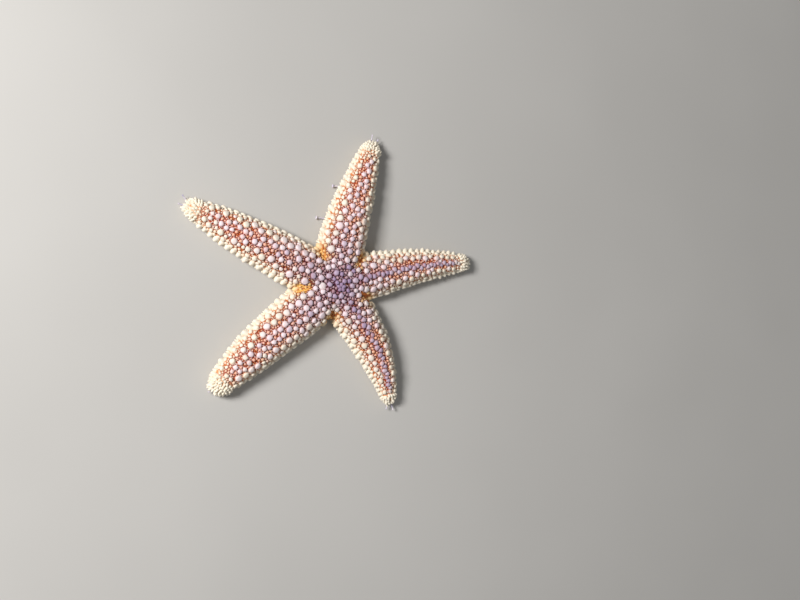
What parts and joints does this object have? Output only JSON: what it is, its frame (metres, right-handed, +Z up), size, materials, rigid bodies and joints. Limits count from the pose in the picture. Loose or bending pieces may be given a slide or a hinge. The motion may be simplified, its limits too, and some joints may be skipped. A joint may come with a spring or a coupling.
{
  "type": "common starfish",
  "caption": "Life-size still model of a common starfish lying flat, with plump tapering arms covered in blunt pale spines and tube feet beneath.",
  "frame": {"origin": "middle of the animal's box, on the floor that it lies on", "axes": "+Z up through the back; +X along the longest extent, from the arm_1 side to the arm_3 side; +Y towards the tip of arm_2"},
  "size_m": [0.1046, 0.0944, 0.0104],
  "materials": {
    "skin": "rough, moist skin with blunt pale spines",
    "madreporite": "finely grooved chalky plate",
    "mouth": "soft, moist folded skin",
    "eyespot": "glossy red spot"
  },
  "bodies": {
    "root": {"disc": "skin", "madreporite": "madreporite", "mouth": "mouth", "arm_1": "skin", "arm_2": "skin", "arm_3": "skin", "arm_4": "skin", "arm_5": "skin", "eye_1": "eyespot", "eye_2": "eyespot", "eye_3": "eyespot", "eye_4": "eyespot", "eye_5": "eyespot"}
  },
  "joints": []
}
